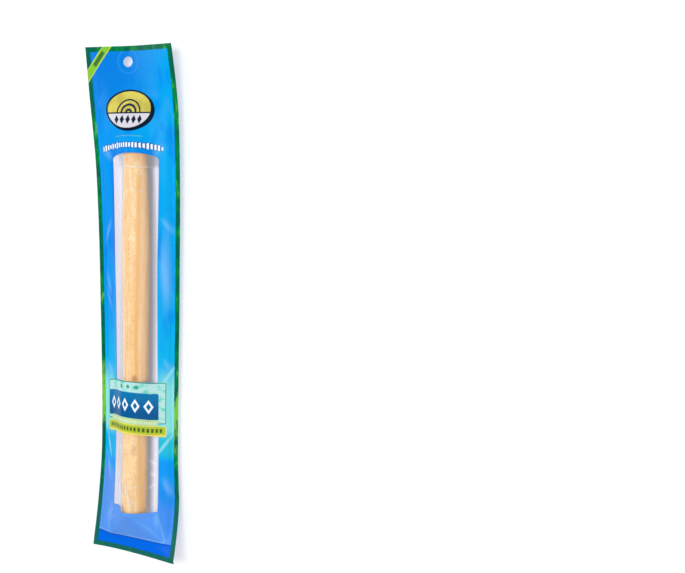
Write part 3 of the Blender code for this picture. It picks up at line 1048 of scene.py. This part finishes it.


def wood_colour(x, y, z, fine):
    broad = cloud(vector(x * 0.45, y * 0.035, z * 0.45), 1.0, 2.0)
    patches = cloud(vector(x, y, z), 0.16, 3.0)
    specks = cloud(vector(x, y * 0.8, z), 1.7, 2.0, 0.7)
    colour = over(paint(254, 216, 160), paint(247, 197, 128), fade(broad, 0.38, 0.66))
    colour = over(colour, paint(254, 224, 174), fade(patches, 0.55, 0.75))
    colour = over(colour, paint(226, 168, 98), fade(fine, 0.48, 0.70) * 0.75)
    colour = over(colour, paint(255, 236, 204), fade(specks, 0.58, 0.72) * 0.6)
    colour = over(colour, paint(216, 154, 88), fade(specks, 0.44, 0.30) * 0.7)

    facing = {TOP: fade(z, 5.0, 7.0), SIDE: fade(x, 2.5, 4.0)}
    bend = calc("SINE", y * 0.06) * 0.5
    ragged = abs(x - (bend + STREAK_X)) + fine * 0.9
    streak = fade(ragged, 1.6, 0.5) * fade(y, *STREAK_TOP) * facing[TOP]
    colour = over(colour, paint(238, 176, 72), streak * 0.9)
    # Painted shade: the wood darkens towards the window's top end, where the print's overhang shades it.
    colour = over(colour, paint(214, 158, 92), fade(y, *OVERHANG_SHADE_TOP) * 0.35)
    colour = over(colour, paint(255, 206, 156), fade(x, 3.0, 5.6) * 0.5)

    across = {TOP: x, SIDE: z}
    for face, place, scar_y, reach_across, reach_along, strength in SCARS:
        scar = away((across[face] - place) / reach_across, (y - scar_y) / reach_along) + patches * 0.5
        colour = over(colour, paint(182, 116, 58), fade(scar, 1.5, 0.5) * facing[face] * strength)
    return colour


wood, tree = new_material("root_wood")
x, y, z = object_millimetres(tree)
fine_fibres = cloud(vector(x * 3.2, y * 0.10, z * 3.2), 1.0, 4.0, 0.6)
set_shader(wood, {
    "Base Color": wood_colour(x, y, z, fine_fibres),
    "Roughness": 0.62,
    "Specular IOR Level": 0.3,
    "Subsurface Weight": 0.12,
    "Subsurface Radius": (1.2, 0.6, 0.3),
    "Subsurface Scale": 1.5 * MM,
}, fine_fibres, 0.12 * MM, 0.6)
print("wood nodes:", len(tree.nodes))

# %% The sawn ends
STICK_MIDDLE_Z = 6.4  # millimetres, near the stick's ends

sawn, tree = new_material("sawn_root_end")
x, y, z = object_millimetres(tree)
from_middle = away(x, z - STICK_MIDDLE_Z)
torn = cloud(vector(x, y, z), 2.4, 5.0, 0.7)
growth = calc("SINE", from_middle * 5.2 + torn * 4.0)
end_colour = over(paint(240, 208, 152), paint(206, 158, 100), fade(growth, -0.2, 1.0))
end_colour = over(end_colour, paint(222, 176, 120), fade(from_middle, 3.9, 4.9))
end_colour = over(end_colour, paint(176, 126, 74), fade(torn, 0.60, 0.72) * 0.6)
set_shader(sawn, {"Base Color": end_colour, "Roughness": 0.85}, torn, 0.3 * MM, 0.8)

dress(stick, wood, sawn)
for face in stick.data.polygons:
    at_end = min(face.center.y - STICK_FOOT, STICK_TOP - face.center.y)
    face.material_index = 1 if at_end < 0.4 * MM and abs(face.normal.y) > 0.6 else 0
print("sawn faces:", sum(f.material_index for f in stick.data.polygons))

# %% [markdown]
# ## The print
#
# The film is printed flat, so the print reads the film's own UV map, scaled to millimetres: p across the film
# and q along it, both from its middle. Each motif is a distance to a simple shape, turned into a mask: below
# zero is inside. The ground is a blue that goes from deep to cyan in soft clouds, with a mottled green
# border, a lime corner ribbon, an oval badge, an arc of ticks over the window and a band across it.

# %% Distances to simple shapes
FILM_P = FILM_WIDTH / MM
FILM_Q = POUCH_LENGTH / MM


def print_millimetres(tree):
    """The place on the flat film in millimetres, from its middle."""
    u, v, _ = split(add_node(tree, "ShaderNodeUVMap", {}))
    return (u - 0.5) * FILM_P, (v - 0.5) * FILM_Q


def highest(a, b):
    return calc("MAXIMUM", a, b)


def to_box(p, q, low, high, rounding=0.0):
    """Distance to a rounded box between two corners: less than zero inside."""
    u, v = (abs(c - (a + b) / 2) - ((b - a) / 2 - rounding) for c, a, b in zip((p, q), low, high))
    within = calc("MINIMUM", highest(u, v), 0.0)
    return away(highest(u, 0.0), highest(v, 0.0)) + within - rounding


def to_oval(p, q, middle, half, tilt=0.0):
    """Distance to an oval, turned by tilt degrees."""
    dp, dq = p - middle[0], q - middle[1]
    c, s = math.cos(math.radians(tilt)), math.sin(math.radians(tilt))
    u = dp * (c / half[0]) + dq * (s / half[0])
    v = dq * (c / half[1]) - dp * (s / half[1])
    return (away(u, v) - 1.0) * min(half)


def from_nearest(p, period):
    """Distance across to the nearest of a row of lines, one per period."""
    return calc("PINGPONG", p + 100 * period, period / 2)


def inside(distance, soft=0.12):
    return fade(distance, soft, -soft)


# %% The ground
BAND_LEAN = 0.27  # the glow round the band falls this much for each millimetre to the right
SWEEPS = ((-34, 16.6, -30.5, 5.5), (-38, 15.2, -60.0, 7.0), (20, -16.2, -60.0, 7.0))  # tilt, p, q, reach
SEAL_Q = 101.0


def print_ground(p, q):
    """Blue from deep to cyan in soft clouds, with a teal glow round the band. Painted light lies on it: a
    periwinkle sheen at the foot, shade at the foot's right, highlights on the right flank and round the hole,
    and shade and highlight along the foot seal.
    """
    clouds = cloud(vector(p * 0.6, q * 0.22), 0.30, 2.0)
    colour = over(paint(1, 143, 227), paint(1, 162, 229), fade(p, -12.0, 18.0))
    colour = over(colour, paint(1, 118, 226), fade(clouds, 0.47, 0.70) * 0.6)
    header = fade(q, 66.0, 96.0) * fade(p, 30.0, -10.0)
    colour = over(colour, paint(2, 116, 208), header * 0.9)
    colour = over(colour, paint(2, 176, 228), fade(q, 6.0, -26.0) * 0.7)
    beside_window = fade(abs(p), 13.5, 9.5) * fade(q, 8.0, 30.0) * fade(q, 68.0, 60.0)
    colour = over(colour, paint(0, 108, 212), beside_window * 0.8)
    colour = over(colour, paint(6, 146, 234), fade(q, -64.0, -68.0))
    # Painted sheen: the foot turns periwinkle, as its tilted film would mirror the light.
    colour = over(colour, paint(84, 144, 230), fade(q + p * 0.5, -74.0, -82.0))
    # Painted shade: darker blue on the foot's right, where its steep side is turned from the light.
    foot_right_shade = fade(p, 9.0, 15.0) * fade(q, -74.0, -80.0) * fade(q, -SEAL_Q, -94.0)
    colour = over(colour, paint(36, 126, 222), foot_right_shade * 0.55)
    # Painted highlight: a faint pale ring round the hole, where the film is embossed.
    hole_ring_highlight = abs(to_oval(p, q, (-1.4, 100.9), (4.8, 4.8)))
    colour = over(colour, paint(90, 170, 240), fade(hole_ring_highlight, 0.7, 0.1) * 0.13)
    # Painted highlight: a soft pale streak on the right flank beside the window.
    right_flank_highlight = to_oval(p, q, (15.4, 15.0), (2.4, 24.0))
    colour = over(colour, paint(84, 160, 240), fade(right_flank_highlight, 0.2, -1.4) * 0.45)

    glow = fade(q + p * BAND_LEAN, -63.0, -57.0) * fade(q, -24.0, -38.0) * fade(abs(p), 9.0, 15.0)
    teal = over(paint(138, 220, 216), paint(40, 186, 206), fade(q, -53.0, -58.0))
    colour = over(colour, teal, glow * 0.9)
    for tilt, middle_p, middle_q, reach in SWEEPS:
        sweep = to_oval(p, q, (middle_p, middle_q), (0.75, reach), tilt)
        colour = over(colour, paint(150, 218, 232), fade(sweep, 0.3, -0.5) * 0.7)

    seal = q + SEAL_Q - fade(p, -11.0, -19.0) * 0.9
    colour = over(colour, paint(0, 96, 214), fade(seal, 0.4, -0.2))
    # Painted shade and highlight: a dark line along the foot seal and a pale one just above it stand for the
    # fold's shading.
    colour = over(colour, paint(4, 62, 168), fade(abs(seal), 0.45, 0.1) * 0.7)
    light = fade(abs(seal - 0.7), 0.4, 0.1) * fade(p, 16.0, 8.0)
    return over(colour, paint(170, 206, 250), light * 0.25)


# %% Border and ribbon
def border(colour, p, q):
    """A mottled green edge, about two millimetres wide, with more lime in it beside the band."""
    from_edge = calc("MINIMUM", FILM_P / 2 - abs(p), FILM_Q / 2 - abs(q))
    ragged = cloud(vector(p, q), 0.9, 2.0)
    mottle = cloud(vector(p, q * 0.35, 7.0), 0.35, 3.0)
    green = over(paint(2, 92, 70), paint(2, 122, 62), fade(mottle, 0.42, 0.60))
    green = over(green, paint(84, 176, 44), fade(mottle, 0.60, 0.72))
    near_band = abs(q + p * BAND_LEAN + 45.0)
    lime = fade(near_band, 15.0, 9.0) * fade(mottle, 0.36, 0.56)
    green = over(green, paint(120, 190, 60), lime * 0.9)
    green = over(green, paint(24, 96, 88), fade(q, -76.0, -90.0) * 0.85)
    return over(colour, green, fade(from_edge + ragged * 0.5, 2.6, 2.2))


def ribbon(colour, p, q):
    """A lime ribbon across the top left corner, with a dark bar of dashes on it."""
    u = (p + FILM_P / 2) * 0.767
    v = (FILM_Q / 2 - q) * 0.641
    across = abs(u + v - 7.95)
    along = u * 0.836 - v * 1.197
    colour = over(colour, paint(206, 214, 84), fade(across, 1.75, 1.6))
    colour = over(colour, paint(124, 186, 52), fade(across, 1.5, 1.35))
    bar = highest(across - 0.95, abs(along) - 3.9)
    colour = over(colour, paint(22, 84, 46), inside(bar, 0.2) * 0.55)
    dashes = highest(bar + 0.3, calc("PINGPONG", along + 50.0, 0.55) - 0.32)
    return over(colour, paint(10, 62, 40), inside(dashes) * 0.85)


# %% Badge and arc
BADGE = (-1.3, 80.9)
BADGE_HALF = (11.6, 8.4)
BADGE_SHADOW = (0.9, -0.7)
NAVY = paint(14, 30, 54)
RING_PERIOD = 2.2
ARC_Q = 66.1
RULE_Q = 69.9


def lozenges(p, q, period, half_width, half_height):
    """Distance to a row of upright lozenges, side by side along p."""
    u = from_nearest(p, period) * (1 / half_width)
    return (u + abs(q) * (1 / half_height) - 1.0) * half_width


def badge(colour, p, q):
    """An oval badge: half rings like a root's growth rings on yellow, over a row of lozenges on white."""
    shadow = to_oval(p, q, [a + b for a, b in zip(BADGE, BADGE_SHADOW)], BADGE_HALF)
    colour = over(colour, paint(6, 18, 40), inside(shadow, 0.2))
    rim = to_oval(p, q, BADGE, BADGE_HALF)
    colour = over(colour, NAVY, inside(rim))
    field = rim + 0.7
    soft = cloud(vector(p, q, 3.0), 0.25, 2.0)
    yellow = over(paint(206, 194, 90), paint(186, 176, 78), fade(soft, 0.40, 0.62))
    colour = over(colour, yellow, inside(field))
    dp, dq = p - BADGE[0], q - BADGE[1]
    up = dq + 1.4
    out = away(dp, up)
    rings = calc("PINGPONG", out + 0.9, RING_PERIOD / 2) - 0.5
    colour = over(colour, paint(34, 44, 70), inside(rings) * (fade(out, 6.0, 5.8) * inside(field)))
    colour = over(colour, paint(206, 204, 214), inside(highest(field, up)))
    colour = over(colour, NAVY, inside(highest(field, abs(up) - 0.3)))
    row = highest(lozenges(dp, dq + 4.2, 2.9, 1.15, 1.9), abs(dp) - 7.3)
    return over(colour, paint(26, 34, 58), inside(row, 0.15))


def ticks(p, q, period, thick, tall):
    """A row of upright ticks of uneven height."""
    height = cloud(vector(p, 0.0, 2.0), 0.9, 1.0) * (tall * 0.9) + tall * 0.15
    return highest(from_nearest(p, period) - thick / 2, abs(q) - height)


def arc(colour, p, q):
    """An arc of small white ticks over the window, and a thin pale rule above it."""
    dp = p + 0.7
    bowed = q + dp * dp * 0.0074
    within = fade(abs(dp), 15.4, 15.1)
    row = ticks(dp, bowed - ARC_Q, 1.5, 0.85, 1.7)
    colour = over(colour, paint(8, 66, 140), inside(row - 0.3, 0.3) * within * 0.75)
    colour = over(colour, paint(236, 242, 250), inside(row) * within)
    rule = fade(abs(bowed - RULE_Q), 0.35, 0.1) * fade(abs(dp), 7.6, 6.2)
    return over(colour, paint(96, 172, 176), rule * 0.6)


# %% Band across the window
def band(colour, p, q):
    """A pale teal panel, a deep blue one on it with a row of lozenges, and a pale and a lime strip below."""
    off = (p - BAND_BOW_MIDDLE) / BAND_BOW_REACH
    bow = highest(1.0 - off * off, 0.0)
    row = q - bow * BAND_BOW - p * (q * BAND_FAN + BAND_SLOPE)

    teal = to_box(p, row, (-16.3, -50.4), (15.8, -33.3), 0.8)
    mist = cloud(vector(p * 0.5, q), 0.5, 3.0)
    teal_colour = over(paint(176, 218, 216), paint(92, 206, 188), fade(mist, 0.46, 0.66))
    colour = over(colour, paint(64, 140, 96), inside(teal))
    colour = over(colour, teal_colour, inside(teal + 0.35))
    disc = away(from_nearest(p, 4.0), row + 35.5)
    few = fade(abs(p), 6.2, 6.0)
    colour = over(colour, paint(40, 140, 84), fade(disc, 0.95, 0.8) * few * 0.8)

    panel = to_box(p, row, (-16.0, -48.9), (12.6, -37.8), 0.9)
    deep = over(paint(10, 112, 168), paint(4, 84, 142), fade(row, -38.0, -47.0))
    colour = over(colour, deep, inside(panel))
    white = lozenges(p + 1.7, row + 43.3, 5.2, 1.9, 2.9)
    outline = highest(white, white * -1.0 - 0.95)
    colour = over(colour, paint(232, 240, 248), inside(outline, 0.15) * inside(panel + 1.2))

    pale = to_box(p, row, (-13.8, -51.9), (12.4, -48.7), 0.6)
    colour = over(colour, paint(176, 208, 150), inside(pale))
    fine = ticks(p, row + 50.1, 0.9, 0.4, 0.9)
    colour = over(colour, paint(226, 236, 216), inside(fine, 0.15) * inside(pale + 0.6) * 0.8)

    lime = to_box(p, row, (-16.2, -55.7), (15.9, -51.3), 0.3)
    colour = over(colour, paint(228, 208, 92), inside(lime))
    lime_field = to_box(p, row, (-15.8, -54.8), (15.5, -51.6), 0.3)
    colour = over(colour, paint(168, 188, 52), inside(lime_field))
    marks = ticks(p, row + 53.2, 1.7, 1.0, 1.5)
    return over(colour, paint(34, 60, 30), inside(marks, 0.15) * inside(lime_field + 0.8) * 0.85)


# %% The printed film's materials
def creased_share(tree):
    return add_node(tree, "ShaderNodeAttribute", {}, "Fac", attribute_name="creased")


def glossy_print(material, colour, roughness):
    """Glossy printed film with faint crinkles."""
    crinkle = cloud(vector(*object_millimetres(colour.tree)), 0.35, 4.0, 0.6)
    inputs = {"Value": crinkle, "To Min": roughness * 0.8, "To Max": roughness * 1.3}
    uneven = add_node(colour.tree, "ShaderNodeMapRange", inputs, "Result")
    looks = {"Base Color": colour, "Roughness": uneven, "Specular IOR Level": 0.035}
    set_shader(material, looks, crinkle, 0.20 * MM, 0.4)


front_print, tree = new_material("front_print")
p, q = print_millimetres(tree)
# Stress whitening and painted highlight: the print turns paler along its creases and in a line round the
# pressed panel.
colour = over(print_ground(p, q), paint(140, 198, 246), creased_share(tree) * 0.45)
for motif in (border, ribbon, badge, arc, band):
    colour = motif(colour, p, q)
glossy_print(front_print, colour, 0.24)

back_print, tree = new_material("back_print")
p, q = print_millimetres(tree)
colour = border(print_ground(p, q), p, q)
panel = to_box(p, q, (-13.0, -66.0), (13.0, 70.0), 3.0)
colour = over(colour, paint(196, 224, 240), inside(panel))
colour = over(colour, paint(226, 238, 244), inside(panel + 0.8))
glossy_print(back_print, colour, 0.28)

inner_white, tree = new_material("white_inside_of_print")
x, y, z = object_millimetres(tree)
milky = cloud(vector(x, y * 0.3, z), 0.25, 2.0)
white = over(paint(246, 246, 253), paint(238, 237, 250), milky)
set_shader(inner_white, {
    # Painted shade: the white inside turns greyer towards the right, where the stick shades it.
    "Base Color": over(white, paint(206, 207, 222), fade(x, 1.0, 8.0)),
    "Roughness": 0.45,
    # Painted glow: the white inside glows faintly, though it is no lamp.
    "Emission Color": paint(244, 245, 255),
    "Emission Strength": 0.22,
})
print("print nodes:", len(front_print.node_tree.nodes))

# %% [markdown]
# ## Clear film
#
# Clear film hides nothing, but it is never quite invisible: it is a little milky, it shines, and it is white
# where it is creased; that white is partly painted highlight. Real glass with refraction would give dark,
# noisy edges on a film as thin as this one. A low alpha keeps what is behind the film straight and bright.
# The alpha rises with the creases that each film keeps in its own attribute, and at glancing angles, where
# real film mirrors more. The sleeve film also has a painted glow, a faint emission, though it is no lamp.

# %% Clear films
CLEAR_HAZE = 0.012


def clear_film(name, shine, tint, glow):
    """Clear film: how much it shines edge-on, its tint, and the strength of its painted glow, brightest where
    it is white.
    """
    material, tree = new_material(name)
    edge_on = add_node(tree, "ShaderNodeLayerWeight", {"Blend": 0.25}, "Fresnel")
    x, y, z = object_millimetres(tree)
    crinkle = cloud(vector(x * 1.5, y, z), 0.5, 4.0, 0.6)
    # Creases raise the alpha, so the film turns white there: stress whitening, partly painted highlight.
    alpha = edge_on * shine + CLEAR_HAZE + creased_share(tree) * 0.55 + fade(crinkle, 0.62, 0.76) * 0.03
    set_shader(material, {
        "Alpha": calc("MINIMUM", alpha, 0.9),
        "Base Color": tint,
        "Emission Color": tint,
        "Emission Strength": glow,
        "Roughness": 0.12,
        "Specular IOR Level": 0.6,
    }, crinkle, 0.2 * MM, 0.5)
    return material


window_clear = clear_film("clear_window_film", 0.20, paint(242, 244, 252), 0.0)
# Painted glow: the sleeve film glows faintly, most where it is milky or creased.
sleeve_clear = clear_film("clear_sleeve_film", 0.05, paint(244, 244, 252), 0.10)

dress(front, front_print, inner_white)
dress(back, back_print, inner_white)
dress(window, window_clear)
dress(sleeve_front, sleeve_clear)
dress(sleeve_back, sleeve_clear)
for film, inner_side in ((front, -1), (back, 1)):
    for face in film.data.polygons:
        face.material_index = 1 if face.normal.z * inner_side > 0.1 else 0
print("white faces:", sum(f.material_index for f in front.data.polygons))

# %% [markdown]
# ## Table and light
#
# The pack lies on a plain white table under soft light, so that nothing draws the eye from it. The table
# glows a little, like a photographer's light table, which keeps the shadows pale. One lamp at the left models
# the stick, one above shines into the pouch, a weak one at the right lifts the shadows, and a bright room
# fills the rest.

# %% Table
table_material, tree = new_material("white_table")
grain = cloud(vector(*object_millimetres(tree)), 0.02, 2.0)
set_shader(table_material, {
    "Base Color": over(paint(196, 196, 196), paint(200, 200, 200), grain),
    "Roughness": 0.9,
    "Emission Color": (1, 1, 1, 1),
    "Emission Strength": 0.45,
})
bpy.ops.object.select_all(action="DESELECT")
bpy.ops.mesh.primitive_plane_add(size=6, location=(0, 0, -0.3 * MM))
table = bpy.context.active_object
rename(table, "table")
dress(table, table_material)
print("table:", table.name)

# %% Lamps
def lamp(name, place, size, power):
    light = bpy.data.lights.new(name, "AREA")
    light.shape = "DISK"
    light.size = size
    light.energy = power
    found = bpy.data.objects.new(name, light)
    bpy.context.scene.collection.objects.link(found)
    towards = AIM - Vector(place)
    found.matrix_world = Matrix.Translation(place) @ towards.to_track_quat("-Z", "Y").to_matrix().to_4x4()
    return found


lamp("key_lamp", (-0.75, 0.25, 0.65), 0.45, 3.4)
lamp("top_lamp", (0.10, 0.15, 1.0), 0.5, 5.0)
lamp("fill_lamp", (0.8, -0.3, 0.8), 0.7, 3.4)

sky = bpy.data.worlds.new("white_room")
sky.use_nodes = True
sky.node_tree.nodes["Background"].inputs["Color"].default_value = (1, 1, 1, 1)
sky.node_tree.nodes["Background"].inputs["Strength"].default_value = 0.42
bpy.context.scene.world = sky
bpy.context.scene.view_settings.view_transform = "Standard"
